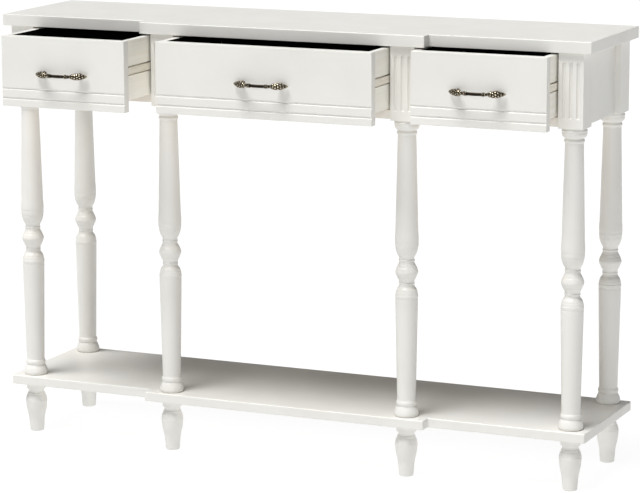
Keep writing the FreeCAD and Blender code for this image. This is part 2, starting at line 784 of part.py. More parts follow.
def make_table():
    """Build every sub-part of the table."""
    dowels = make_dowels()
    studs = make_studs()
    top = breakfront_board("top_body", ZERO, CASE_TOP, S["top_thick"], S["top_edge_round"])
    node(cut("top", top, dowels), "tabletop")
    shelf = breakfront_board("shelf_body", S["shelf_end_inset"], SHELF_BOTTOM, S["shelf_thick"],
                             S["shelf_edge_round"])
    node(cut("shelf", shelf, studs), "shelf")
    for name, (x, y) in SUPPORTS.items():
        fluted = not name.startswith("rear")
        node(cut(f"post_{name}", make_post(name, x, y, fluted), dowels, studs), f"post_{name}")
        node(cut(f"leg_{name}", make_leg(name, x, y), studs), f"leg_{name}")
        node(cut(f"foot_{name}", make_foot(name, x, y), studs), f"foot_{name}")
    for side, hand in SIDES.items():
        node(cut(f"panel_{side}", make_side_panel(hand), dowels), f"side_panel_{side}")
        node(cut(f"partition_{side}", make_partition(hand), dowels), f"partition_{side}")
    node(cut("back_panel", make_back_panel(), dowels), "back_panel")
    notches = make_rail_notches()
    for name, (left, right, plane, pull, *seats) in BAYS.items():
        node(cut(f"rail_{name}", make_rail(name, plane), notches, dowels), f"rail_{name}")
        node(make_battens(name, (left, right), seats), f"battens_{name}")
        start = plane + S["front_thick"] + S["runner_setback"]
        pair = [channel(f"case_{name}", wall, inward, start, S["case_channel_height"],
                        S["case_channel_depth"])
                for wall, inward in ((left, 1), (right, -1))]
        node(group(f"case_channels_{name}", pair), f"case_runners_{name}")
        make_drawer(name, left, right, plane, pull)
    node(dowels, "dowels")
    node(studs, "leg_studs")


def check_document():
    """Stop if any object failed or any sub-part is empty or not valid."""
    for item in doc.Objects:
        if {"Invalid", "Error"} & set(item.State):
            raise RuntimeError(f"{item.Label} failed: {item.State}")
    for piece in NODES:
        if piece.Shape.isNull() or not piece.Shape.isValid() or not piece.Shape.Solids:
            raise RuntimeError(f"{piece.Label} has no valid solid")


def write_parts():
    """Write each sub-part to its own STEP file."""
    os.makedirs("parts", exist_ok=True)
    for piece in NODES:
        piece.Shape.exportStep(f"parts/{piece.Label}.step")
        print(f"{piece.Label}: {len(piece.Shape.Solids)} solid(s), "
              f"{piece.Shape.Volume / 1000:.1f} cm3")


make_table()
doc.recompute()
check_document()
write_parts()
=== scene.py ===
"""Breakfront console table: painted boards, fluted posts, turned legs and three drawers."""

import logging
import math
from dataclasses import dataclass, field
from enum import Enum
from typing import Any, Callable

import bpy
import numpy as np
from mathutils import Euler, Matrix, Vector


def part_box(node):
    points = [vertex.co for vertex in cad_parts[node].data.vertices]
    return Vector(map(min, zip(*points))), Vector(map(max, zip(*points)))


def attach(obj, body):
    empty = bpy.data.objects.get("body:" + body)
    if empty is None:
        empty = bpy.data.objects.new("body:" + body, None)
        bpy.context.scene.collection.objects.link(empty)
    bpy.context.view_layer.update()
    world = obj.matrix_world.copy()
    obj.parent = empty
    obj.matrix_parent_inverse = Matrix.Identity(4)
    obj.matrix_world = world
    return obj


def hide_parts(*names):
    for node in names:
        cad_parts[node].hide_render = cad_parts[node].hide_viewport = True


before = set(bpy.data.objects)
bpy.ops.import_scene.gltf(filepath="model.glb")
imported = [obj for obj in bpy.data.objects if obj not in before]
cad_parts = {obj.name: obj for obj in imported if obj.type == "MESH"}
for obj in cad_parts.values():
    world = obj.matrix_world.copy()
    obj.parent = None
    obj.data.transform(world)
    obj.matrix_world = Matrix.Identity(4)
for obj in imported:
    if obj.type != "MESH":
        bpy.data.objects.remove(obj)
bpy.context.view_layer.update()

MM = 0.001
LOG = logging.getLogger("console_table")
RELIEF = "relief"

Array = np.ndarray
FaceChooser = Callable[[Array, Array], Array]
Tree = bpy.types.NodeTree
Socket = bpy.types.NodeSocket
Feeds = dict[str | int, Any]

# Degrees above which an edge shows as a crease.
BOARD_CREASE = 5
POST_CREASE = 12
CHANNEL_CREASE = 30
TURNED_CREASE = 50
CAST_CREASE = 55

# Points in a rounded corner, and in a finer one or an eased edge.
CORNER_STEPS = 3
FINE_STEPS = 4

# A corner's setback over its edge's draw-in: less would fold the outline over at the corner.
CORNER_OVER_EDGE = 1.5

# How much of a face's normal has to point a way for the face to count as facing or leaning it.
FACING = 0.9
LEANING = 0.3

# The range that holds most of a noise's values.
NOISE_RANGE = (0.3, 0.7)

# Turned outlines, in millimetres and radians: points in an arc, even spacing, half width of a
# scored line, the bend and the run that each earn one kept point, and a straight edge's rise.
ARC_POINTS = 65
EVEN_STEP = 0.12
SCORE_WIDTH = 0.85
BEND_PER_POINT = 0.16
RUN_PER_POINT = 7.0
FLAT_RISE = 1e-4


class Axis(Enum):
    """The way a board's long run goes, as the number of its coordinate."""

    X = 0
    Y = 1
    Z = 2


class Marks(Enum):
    """What the tool left in the surface under the lacquer."""

    SANDED = "sanded flat board"
    LATHE = "rings round a turned piece"


# ---- shells

@dataclass
class Shell:
    """A closed surface in millimetres.

    points is (n, 3), quads is (m, 4), caps are flat end faces of any number of corners, and
    relief is one value a point, 0 in a hollow and 1 on a high spot.
    """

    points: Array
    quads: Array
    caps: list[Array] = field(default_factory=list)
    relief: Array | None = None

    def volume(self) -> float:
        """Signed volume: each face's triangles with the origin, added up."""
        corners = self.points[self.quads]
        fans = [corners[:, [0, 1, 2]], corners[:, [0, 2, 3]]]
        for cap in self.caps:
            ring = self.points[cap]
            first = np.broadcast_to(ring[0], (len(cap) - 2, 3))
            fans.append(np.stack([first, ring[1:-1], ring[2:]], axis=1))
        tri = np.concatenate(fans)
        return float(np.einsum("ij,ij->", tri[:, 0], np.cross(tri[:, 1], tri[:, 2])) / 6)

    def outward(self) -> "Shell":
        """Turn every face round if the surface is inside out."""
        if self.volume() < 0:
            self.quads = self.quads[:, ::-1]
            self.caps = [cap[::-1] for cap in self.caps]
        return self


def ring_shell(rings: Array, relief: Array | None = None) -> Shell:
    """Skin a stack of closed rings and close both ends with a flat cap.

    Args:
        rings: (k, n, 3) points, ring after ring.
        relief: (k, n) values, or None.

    Returns:
        The closed shell, facing outward.
    """
    count, around = rings.shape[:2]
    index = np.arange(count * around).reshape(count, around)
    beside = np.roll(index, -1, axis=1)
    quads = np.stack([index[:-1], beside[:-1], beside[1:], index[1:]], axis=-1).reshape(-1, 4)
    shell = Shell(rings.reshape(-1, 3), quads, [index[0, ::-1], index[-1]],
                  None if relief is None else relief.reshape(-1))
    return shell.outward()


def joined(shells: list[Shell]) -> Shell:
    """Several shells as one, each with its points renumbered after those before it.

    Either all of them have relief or none has.
    """
    starts = np.cumsum([0] + [len(shell.points) for shell in shells])
    relief = [shell.relief for shell in shells if shell.relief is not None]
    return Shell(np.concatenate([shell.points for shell in shells]),
                 np.concatenate([shell.quads + start for shell, start in zip(shells, starts)]),
                 [cap + start for shell, start in zip(shells, starts) for cap in shell.caps],
                 np.concatenate(relief) if relief else None)


def rectangle(low: Array, high: Array) -> Array:
    """Four corners of a rectangle, anticlockwise from its lowest corner."""
    return np.array([[low[0], low[1]], [high[0], low[1]], [high[0], high[1]], [low[0], high[1]]])


def turns(count: int) -> Array:
    """Angles evenly round a full turn."""
    return np.linspace(0, 2 * math.pi, count, endpoint=False)


def bell(values: Array, centre: float | Array, width: float) -> Array:
    """A bell-shaped bump of height 1 at the centre: exp(-d*d) at d widths from it."""
    return np.exp(-((values - centre) / width) ** 2)


def softened(corners: Array, setback: float | Array, steps: int = CORNER_STEPS) -> Array:
    """Round each corner of an outline.

    Each corner p becomes the parabola (1-s)(1-s)a + 2s(1-s)p + s*s*b, where a and b lie on the
    two edges, the setback away from it.

    Args:
        corners: (n, 2) outline.
        setback: millimetres, one or one for each corner.
        steps: points put in place of each corner.

    Returns:
        (n * steps, 2) outline, with each corner's points together.
    """
    back = np.roll(corners, 1, axis=0) - corners
    ahead = np.roll(corners, -1, axis=0) - corners
    reach = np.broadcast_to(np.asarray(setback, float), len(corners))[:, None]
    a = corners + back / np.linalg.norm(back, axis=1, keepdims=True) * reach
    b = corners + ahead / np.linalg.norm(ahead, axis=1, keepdims=True) * reach
    s = np.linspace(0, 1, steps)[None, :, None]
    rounded = (1 - s) ** 2 * a[:, None] + 2 * s * (1 - s) * corners[:, None] + s ** 2 * b[:, None]
    return rounded.reshape(-1, 2)


def mitres(outline: Array) -> Array:
    """How far each point moves outward for an even margin of 1 along every edge.

    With outward unit normals m and n of a point's two edges it is (m + n) / (1 + m.n).
    """
    edge = np.roll(outline, -1, axis=0) - outline
    normal = np.stack([edge[:, 1], -edge[:, 0]], axis=1)
    normal /= np.linalg.norm(normal, axis=1, keepdims=True)
    before = np.roll(normal, 1, axis=0)
    return (before + normal) / (1 + np.sum(before * normal, axis=1, keepdims=True))


def eased_run(low: float, high: float, eases: tuple[float, float],
              stations: Array) -> tuple[Array, Array]:
    """Places along a board and how far the outline draws in there.

    Near each end the margin follows a quarter circle: e(1 - sin t) in, at e(1 - cos t) along.

    Args:
        low: where the board starts.
        high: where it ends.
        eases: edge radius at the two ends.
        stations: more places between, where faces must end.

    Returns:
        The places and the margins, both (k,).
    """
    turn = np.linspace(0, math.pi / 2, FINE_STEPS)
    along, inward = 1 - np.cos(turn), 1 - np.sin(turn)
    places = np.concatenate([low + eases[0] * along, np.sort(stations),
                             (high - eases[1] * along)[::-1]])
    margins = np.concatenate([eases[0] * inward, np.zeros(len(stations)),
                              (eases[1] * inward)[::-1]])
    return places, margins


def board_shell(axis: Axis, outline: Array, low: float, high: float,
                eases: tuple[float, float], stations: tuple[float, ...] = ()) -> Shell:
    """A board of any section, with its end edges eased.

    Args:
        axis: the way the section is carried.
        outline: (n, 2) section in the other two coordinates, in X, Y, Z order.
        low: where it starts along the axis.
        high: where it ends.
        eases: edge radius at the two ends.
        stations: more rings along the run.

    Returns:
        The closed shell.
    """
    places, margins = eased_run(low, high, eases, np.array(stations, float))
    flat = outline[None] - mitres(outline)[None] * margins[:, None, None]
    rings = np.insert(flat, axis.value, places[:, None], axis=2)
    return ring_shell(rings)


def turned_outline(rows: Array, scores: Array, soft: float, count: int) -> Array:
    """Half the outline of a turned piece, from its corners.

    Each edge is a circular arc that rises by its third value above the chord. Narrow scored
    lines are bell-shaped dips in the radius. The outline is sampled evenly, averaged over a
    bell-shaped window as lacquer rounds an edge, and thinned so that points crowd where it turns.

    Args:
        rows: (n, 3) radius, height and rise of the edge that follows.
        scores: (m, 2) height and depth of scored lines.
        soft: spread of the averaging window.
        count: points kept.

    Returns:
        (count, 2) radius and height.
    """
    start, end, rise = rows[:-1, :2], rows[1:, :2], rows[:-1, 2]
    rise = np.where(np.abs(rise) < FLAT_RISE, FLAT_RISE, rise)[:, None]
    chord = np.linalg.norm(end - start, axis=1)[:, None]
    along = (end - start) / chord
    outward = np.stack([along[:, 1], -along[:, 0]], axis=1)
    radius = (chord ** 2 / 4 + rise ** 2) / (2 * rise)
    swing = 2 * np.arctan(2 * rise / chord) * np.linspace(-1, 1, ARC_POINTS)[None]
    run = chord / 2 + radius * np.sin(swing)
    lift = radius * np.cos(swing) - (radius - rise)
    dense = start[:, None] + along[:, None] * run[..., None] + outward[:, None] * lift[..., None]
    dense = dense.reshape(-1, 2)
    gone = np.concatenate([[0], np.cumsum(np.linalg.norm(np.diff(dense, axis=0), axis=1))])
    even = np.arange(0, gone[-1], EVEN_STEP)
    line = np.stack([np.interp(even, gone, dense[:, k]) for k in (0, 1)], axis=1)
    dips = scores[:, 1] * bell(line[:, 1:2], scores[:, 0], SCORE_WIDTH)
    line[:, 0] -= dips.sum(axis=1)
    reach = int(4 * soft / EVEN_STEP)
    window = np.exp(-0.5 * (np.arange(-reach, reach + 1) * EVEN_STEP / soft) ** 2)
    padded = np.pad(line, ((reach, reach), (0, 0)), mode="reflect", reflect_type="odd")
    line = np.stack([np.convolve(padded[:, k], window / window.sum(), "valid") for k in (0, 1)],
                    axis=1)
    heading = np.unwrap(np.arctan2(*np.diff(line, axis=0).T))
    bend = np.abs(np.diff(heading, prepend=heading[:1], append=heading[-1:]))
    weight = np.cumsum(bend / BEND_PER_POINT + EVEN_STEP / RUN_PER_POINT)
    kept = np.linspace(weight[0], weight[-1], count)
    return np.stack([np.interp(kept, weight, line[:, k]) for k in (0, 1)], axis=1)


def turned_shell(outline: Array, centre: Array, base: float, around: int = 56) -> Shell:
    """Spin a half outline about an upright line: x = r cos t, y = r sin t at each height."""
    turn = turns(around)
    radius, height = outline[:, 0, None], outline[:, 1, None] + base
    rings = np.stack([centre[0] + radius * np.cos(turn), centre[1] + radius * np.sin(turn),
                      np.broadcast_to(height, (len(outline), around))], axis=-1)
    return ring_shell(rings)


def swept_shell(path: Array, side: Array, radius: Array, relief: Array) -> Shell:
    """Rings of varying radius along a level path: path + radius (side cos t + up sin t).

    Args:
        path: (k, 3) centre line.
        side: (k, 3) or (3,) level unit vectors square to the path.
        radius: (k, n) radius at each place and turn.
        relief: (k, n) values, 0 hollow to 1 high.

    Returns:
        The closed shell.
    """
    turn = turns(radius.shape[1])[None, :, None]
    side = np.broadcast_to(side, path.shape)
    spoke = side[:, None] * np.cos(turn) + np.array([0.0, 0.0, 1.0]) * np.sin(turn)
    return ring_shell(path[:, None] + spoke * radius[..., None], relief)


def pan_head(place: Array, axis: Axis, hand: int, size: float = 3.2, rise: float = 0.6) -> Shell:
    """A small domed screw head with a dished middle, standing on a flat place.

    The radius runs out to the size and back while the height follows a low dome, and near the
    middle the height falls off as a shallow cup.

    Args:
        place: centre of the head's seat.
        axis: the way it stands.
        hand: 1 or -1 along that axis.
        size: radius of the head.
        rise: height of the dome.

    Returns:
        The closed shell.
    """
    radius = size * np.array([0.98, 1.0, 0.98, 0.86, 0.66, 0.42, 0.3, 0.16, 0.04])
    height = rise * np.array([-0.1, 0.25, 0.5, 0.8, 0.96, 1.0, 0.62, 0.45, 0.42])
    turn = turns(20)
    flat = radius[:, None, None] * np.stack([np.cos(turn), np.sin(turn)], axis=-1)[None]
    rings = np.insert(flat, axis.value, np.broadcast_to(height[:, None] * hand, flat.shape[:2]),
                      axis=2)
    return ring_shell(rings + place)


# ---- pieces

def node_box(node: str) -> tuple[Array, Array]:
    """Lowest and highest corner of a CAD node, in millimetres."""
    low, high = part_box(node)
    return np.array(low) / MM, np.array(high) / MM


def add_object(name: str, data: bpy.types.ID) -> bpy.types.Object:
    """Put a new object with this data in the scene."""
    made = bpy.data.objects.new(name, data)
    bpy.context.scene.collection.objects.link(made)
    return made


def piece(name: str, shell: Shell, finishes: list["Finish"], body: str, nodes: tuple[str, ...],
          sharp: float, choose: FaceChooser | None = None) -> bpy.types.Object:
    """Make a shell into a finished piece in place of its CAD nodes.

    Args:
        name: the piece's name.
        shell: its surface.
        finishes: its finishes.
        body: the CAD body that it moves with.
        nodes: the CAD nodes that it stands for.
        sharp: degrees above which an edge shows as a crease.
        choose: from face centres in millimetres and face normals to the number of the finish.

    Returns:
        The new object.
    """
    mesh = bpy.data.meshes.new(name)
    faces = shell.quads.tolist() + [cap.tolist() for cap in shell.caps]
    mesh.from_pydata((shell.points * MM).tolist(), [], faces)
    mesh.shade_smooth()
    mesh.set_sharp_from_angle(angle=math.radians(sharp))
    if shell.relief is not None:
        relief = mesh.attributes.new(RELIEF, "FLOAT", "POINT")
        relief.data.foreach_set("value", shell.relief.astype(np.float32))
    for finish in finishes:
        mesh.materials.append(finish.material())
    if choose is not None:
        centres, normals = np.zeros((2, len(mesh.polygons) * 3))
        mesh.polygons.foreach_get("center", centres)
        mesh.polygons.foreach_get("normal", normals)
        chosen = choose(centres.reshape(-1, 3) / MM, normals.reshape(-1, 3))
        mesh.polygons.foreach_set("material_index", chosen.astype(np.int32))
    mesh.update()
    made = add_object(name, mesh)
    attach(made, body)
    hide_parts(*nodes)
    LOG.info("%s: %d faces on %s", name, len(faces), body)
    return made


def eased_box(node: str, axis: Axis, corner: float, eases: tuple[float, float]) -> Shell:
    """A plain board on its CAD node's box, with every edge eased."""
    low, high = node_box(node)
    others = [k for k in range(3) if k != axis.value]
    outline = softened(rectangle(low[others], high[others]), corner)
    return board_shell(axis, outline, low[axis.value], high[axis.value], eases)


def white_piece(node: str, ending: str, shell: Shell, finish: "Finish",
                sharp: float = BOARD_CREASE) -> None:
    """Put a painted piece of the carcass in place of one CAD node."""
    piece(f"{node}_{ending}", shell, [finish], "carcass", (node,), sharp)


def dress_node(node: str, finish: "Finish") -> None:
    """Give a CAD node that keeps its shape a finish of its own."""
    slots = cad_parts[node].data.materials
    slots.clear()
    slots.append(finish.material())
    LOG.info("%s: kept, %s", node, finish.name)


# ---- finishes

def linear(colour: str) -> tuple[float, float, float, float]:
    """An sRGB hex colour as linear light, with full alpha."""
    parts = np.array([int(colour[k:k + 2], 16) for k in (1, 3, 5)]) / 255
    light = np.where(parts <= 0.04045, parts / 12.92, ((parts + 0.055) / 1.055) ** 2.4)
    return (*(float(part) for part in light), 1.0)


def add_node(tree: Tree, kind: str, feeds: Feeds | None = None, **settings: Any) -> bpy.types.Node:
    """Add a node, with its settings and what feeds its inputs.

    Args:
        tree: the material's or world's tree.
        kind: the node's type name.
        feeds: input name or number to a value, or to another node's output.
        settings: properties of the node.

    Returns:
        The node.
    """
    node = tree.nodes.new(kind)
    for name, value in settings.items():
        setattr(node, name, value)
    for key, value in (feeds or {}).items():
        if isinstance(value, Socket):
            tree.links.new(value, node.inputs[key])
        else:
            node.inputs[key].default_value = value
    return node


def spread(tree: Tree, value: Any, target: tuple[float, float],
           source: tuple[float, float] = NOISE_RANGE) -> Socket:
    """A value brought from its source range to a target range and held inside it."""
    feeds = {0: value, 1: source[0], 2: source[1], 3: target[0], 4: target[1]}
    return add_node(tree, "ShaderNodeMapRange", feeds).outputs[0]


def two_tone(tree: Tree, amount: Any, low: str | Socket, high: str,
             span: tuple[float, float] | None = None) -> Socket:
    """A colour that goes from low to high as the amount goes from 0 to 1 or across the span."""
    if span is not None:
        amount = spread(tree, amount, (0, 1), span)
    feeds = {0: amount, 6: linear(low) if isinstance(low, str) else low, 7: linear(high)}
    return add_node(tree, "ShaderNodeMix", feeds, data_type="RGBA").outputs[2]


def grain(tree: Tree, size: float | tuple[float, float, float], detail: float,
          rough: float = 0.55) -> Socket:
    """Cloudy noise in the piece's own metres, size millimetres from patch to patch each way."""
    sizes = np.broadcast_to(size, 3).tolist()
    place = add_node(tree, "ShaderNodeTexCoord").outputs["Object"]
    scaled = add_node(tree, "ShaderNodeMapping",
                      {"Vector": place, "Scale": tuple(1 / (part * MM) for part in sizes)})
    noise = add_node(tree, "ShaderNodeTexNoise",
                     {"Vector": scaled.outputs[0], "Scale": 1.0, "Detail": detail,
                      "Roughness": rough})
    return noise.outputs[0]


def bump(tree: Tree, height: Any, depth: float, strength: float = 1.0,
         after: Any = None) -> Socket:
    """A bumped normal from a height of 0 to 1 over the depth in millimetres."""
    feeds = {"Height": height, "Distance": depth * MM, "Strength": strength}
    if after is not None:
        feeds["Normal"] = after
    return add_node(tree, "ShaderNodeBump", feeds).outputs[0]


@dataclass(frozen=True)
class Finish:
    """A surface finish, made once as a material and shared by the pieces that wear it."""

    name: str

    def material(self) -> bpy.types.Material:
        """The finish's material, made at its first use."""
        found = bpy.data.materials.get(self.name)
        if found is not None:
            return found
        made = bpy.data.materials.new(self.name)
        made.use_nodes = True
        tree = made.node_tree
        tree.nodes.clear()
        shader = add_node(tree, "ShaderNodeBsdfPrincipled", self.shade(tree))
        add_node(tree, "ShaderNodeOutputMaterial", {"Surface": shader.outputs[0]})
        return made

    def shade(self, tree: Tree) -> Feeds:
        """Build the finish's nodes and return what feeds the shader."""
        raise NotImplementedError


@dataclass(frozen=True)
class SatinLacquer(Finish):
    """Satin white lacquer, sprayed over sealed and sanded beech and board.

    It gives a soft, nearly even white with a slow drift of tone, a low sheen that spreads
    highlights, and a fine orange-peel ripple.
    """

    name: str = "satin_white_lacquer"
    colour: str = "#E9E8E3"
    drift: str = "#E5E3DD"
    drift_size: float = 120.0
    peel_size: float = 2.2
    peel_depth: float = 0.02
    roughness: tuple[float, float] = (0.34, 0.44)
    marks: Marks = Marks.SANDED

    def shade(self, tree: Tree) -> Feeds:
        """Drift in the colour, fine change in the sheen, orange peel and tool marks in the bump."""
        cloud = grain(tree, self.drift_size, 3.0)
        tone = two_tone(tree, cloud, self.colour, self.drift, (0.35, 0.7))
        sheen = spread(tree, grain(tree, 9.0, 4.0), self.roughness)
        normal = bump(tree, grain(tree, self.peel_size, 2.0), self.peel_depth)
        if self.marks is Marks.LATHE:
            # Knife rings are a millimetre or so apart up the piece and unbroken round it.
            normal = bump(tree, grain(tree, (400.0, 400.0, 1.4), 2.0), 0.05, 0.6, normal)
        return {"Base Color": tone, "Roughness": sheen, "Normal": normal, "IOR": 1.5}


@dataclass(frozen=True)
class CreamBoard(Finish):
    """Cream lacquer brushed thin over pine drawer boards: the grain shows faintly through it."""

    name: str = "cream_drawer_lacquer"
    colour: str = "#FDFBF4"
    grain_colour: str = "#F9F5EA"
    run: tuple[float, float, float] = (6.0, 220.0, 6.0)

    def shade(self, tree: Tree) -> Feeds:
        """Long streaks of grain in colour and bump, with a soft sheen."""
        streak = grain(tree, self.run, 4.0)
        tone = two_tone(tree, streak, self.colour, self.grain_colour, (0.35, 0.68))
        sheen = spread(tree, grain(tree, (12.0, 30.0, 12.0), 3.0), (0.42, 0.54))
        return {"Base Color": tone, "Roughness": sheen, "Normal": bump(tree, streak, 0.06, 0.5)}


@dataclass(frozen=True)
class BlackLining(Finish):
    """Matt black lacquer inside a drawer: nearly no sheen, with a fine dusty grain."""

    name: str = "matt_black_lining"
    colour: str = "#050505"
    dust: str = "#0E0D0C"

    def shade(self, tree: Tree) -> Feeds:
        """Dust in the colour, fine grain in the bump, little reflection."""
        speck = grain(tree, 1.6, 4.0)
        tone = two_tone(tree, speck, self.colour, self.dust, (0.5, 0.75))
        rough = spread(tree, speck, (0.72, 0.86))
        return {"Base Color": tone, "Roughness": rough, "Normal": bump(tree, speck, 0.05, 0.5),
                "Specular IOR Level": 0.15}


@dataclass(frozen=True)
class AntiqueBrass(Finish):
    """Cast brass, darkened in a patina bath and rubbed back on its high spots.

    Hollows stay nearly black and dull, raised spots turn pale and bright, and the plain bar is a
    mottled dark bronze.
    """

    name: str = "antiqued_cast_brass"
    hollow: str = "#0D0B09"
    bronze: str = "#3B342B"
    rubbed: str = "#E6DABF"

    def shade(self, tree: Tree) -> Feeds:
        """Mix three tones and the roughness by the piece's relief and a fine mottle."""
        relief = add_node(tree, "ShaderNodeAttribute", attribute_name=RELIEF).outputs["Fac"]
        mottle = grain(tree, 2.5, 4.0, 0.6)
        uneven = add_node(tree, "ShaderNodeMath",
                          {0: relief, 1: spread(tree, mottle, (-0.12, 0.12))},
                          operation="ADD").outputs[0]
        dark = two_tone(tree, uneven, self.hollow, self.bronze, (0.1, 0.6))
        tone = two_tone(tree, uneven, dark, self.rubbed, (0.77, 0.96))
        rough = spread(tree, uneven, (0.6, 0.2), (0.1, 0.9))
        return {"Base Color": tone, "Roughness": rough, "Metallic": 1.0,
                "Normal": bump(tree, mottle, 0.05, 0.6)}


@dataclass(frozen=True)
class CoatedSteel(Finish):
    """Folded steel strip in a baked cream epoxy coat: low sheen with a fine pebbled skin."""

    name: str = "cream_epoxy_steel"
    colour: str = "#EFEADD"
    worn: str = "#D8D0BE"

    def shade(self, tree: Tree) -> Feeds:
        """Rub marks along the run in the colour, and the coat's pebble in the bump."""
        rub = grain(tree, (2.0, 70.0, 1.2), 4.0)
        tone = two_tone(tree, rub, self.colour, self.worn, (0.45, 0.75))
        pebble = grain(tree, 0.9, 2.0)
        return {"Base Color": tone, "Roughness": spread(tree, rub, (0.45, 0.34)),
                "Normal": bump(tree, pebble, 0.02)}


@dataclass(frozen=True)
class ZincPlate(Finish):
    """Zinc-plated steel screws, rods and heads: cool grey metal with a cloudy crystal bloom."""

    name: str = "zinc_plated_steel"
    colour: str = "#B4B3AE"
    bloom: str = "#8C8D8E"

    def shade(self, tree: Tree) -> Feeds:
        """Cells of bloom in the colour and in the roughness."""
        place = add_node(tree, "ShaderNodeTexCoord").outputs["Object"]
        cells = add_node(tree, "ShaderNodeTexVoronoi", {"Vector": place, "Scale": 1 / (1.8 * MM)})
        cell = cells.outputs["Distance"]
        return {"Base Color": two_tone(tree, cell, self.colour, self.bloom),
                "Roughness": spread(tree, cell, (0.28, 0.46), (0, 0.8)), "Metallic": 1.0}


@dataclass(frozen=True)
class BareWood(Finish):
    """Planed bare wood with no finish: straight grain, darker late wood, and open dull pores."""

    name: str = "planed_pine"
    early: str = "#DEC59A"
    late: str = "#BE9A68"
    run: tuple[float, float, float] = (5.0, 220.0, 5.0)

    def shade(self, tree: Tree) -> Feeds:
        """Late wood as stretched bands, pores as finer streaks of the same run."""
        band = two_tone(tree, grain(tree, self.run, 3.0), self.early, self.late, (0.4, 0.62))
        pore = grain(tree, tuple(part / 5 for part in self.run), 5.0, 0.7)
        dusk = two_tone(tree, spread(tree, pore, (0, 0.5), (0.6, 0.8)), band, self.late)
        return {"Base Color": dusk, "Roughness": spread(tree, pore, (0.72, 0.6)),
                "Normal": bump(tree, pore, 0.08, 0.7)}


@dataclass(frozen=True)
class StudioFloor(Finish):
    """Opal acrylic sheet lit from below: it looks white and even, and hardly takes a shadow."""

    name: str = "lit_acrylic_floor"
    colour: str = "#5C5C5C"
    mottle: str = "#585858"
    glow: float = 0.93

    def shade(self, tree: Tree) -> Feeds:
        """A wide mottle in the sheet's own colour, and its even glow."""
        tone = two_tone(tree, grain(tree, 700.0, 2.0), self.colour, self.mottle)
        return {"Base Color": tone, "Roughness": 0.95, "Specular IOR Level": 0.05,
                "Emission Color": (1.0, 1.0, 1.0, 1.0), "Emission Strength": self.glow}


WHITE = SatinLacquer()
TURNED_WHITE = SatinLacquer(name="satin_white_lacquer_turned", marks=Marks.LATHE)
CREAM = CreamBoard()
BLACK = BlackLining()
BRASS = AntiqueBrass()
EPOXY = CoatedSteel()
ZINC = ZincPlate()
PINE = BareWood()
BEECH = BareWood(name="beech_dowel_wood", early="#D3AE7E", late="#B98C5C", run=(4.0, 4.0, 60.0))


# ---- sub-assemblies

@dataclass
class BreakfrontBoard:
    """The tabletop or the shelf: a board whose middle stands forward of its wings."""

    node: str
    middle_half: float = 290.0
    step: float = 25.0
    edges: tuple[float, float] = (0.8, 1.6)

    def outline(self, low: Array, high: Array) -> Array:
        """The eight corners seen from above, anticlockwise, with each corner eased."""
        wing = low[1] + self.step
        corners = np.array([
            [low[0], wing], [-self.middle_half, wing], [-self.middle_half, low[1]],
            [self.middle_half, low[1]], [self.middle_half, wing], [high[0], wing],
            [high[0], high[1]], [low[0], high[1]]])
        return softened(corners, CORNER_OVER_EDGE * max(self.edges), FINE_STEPS)

    def build(self) -> None:
        """Make the board and lacquer it."""
        low, high = node_box(self.node)
        shell = board_shell(Axis.Z, self.outline(low, high), low[2], high[2], self.edges)
        white_piece(self.node, "board", shell, WHITE)


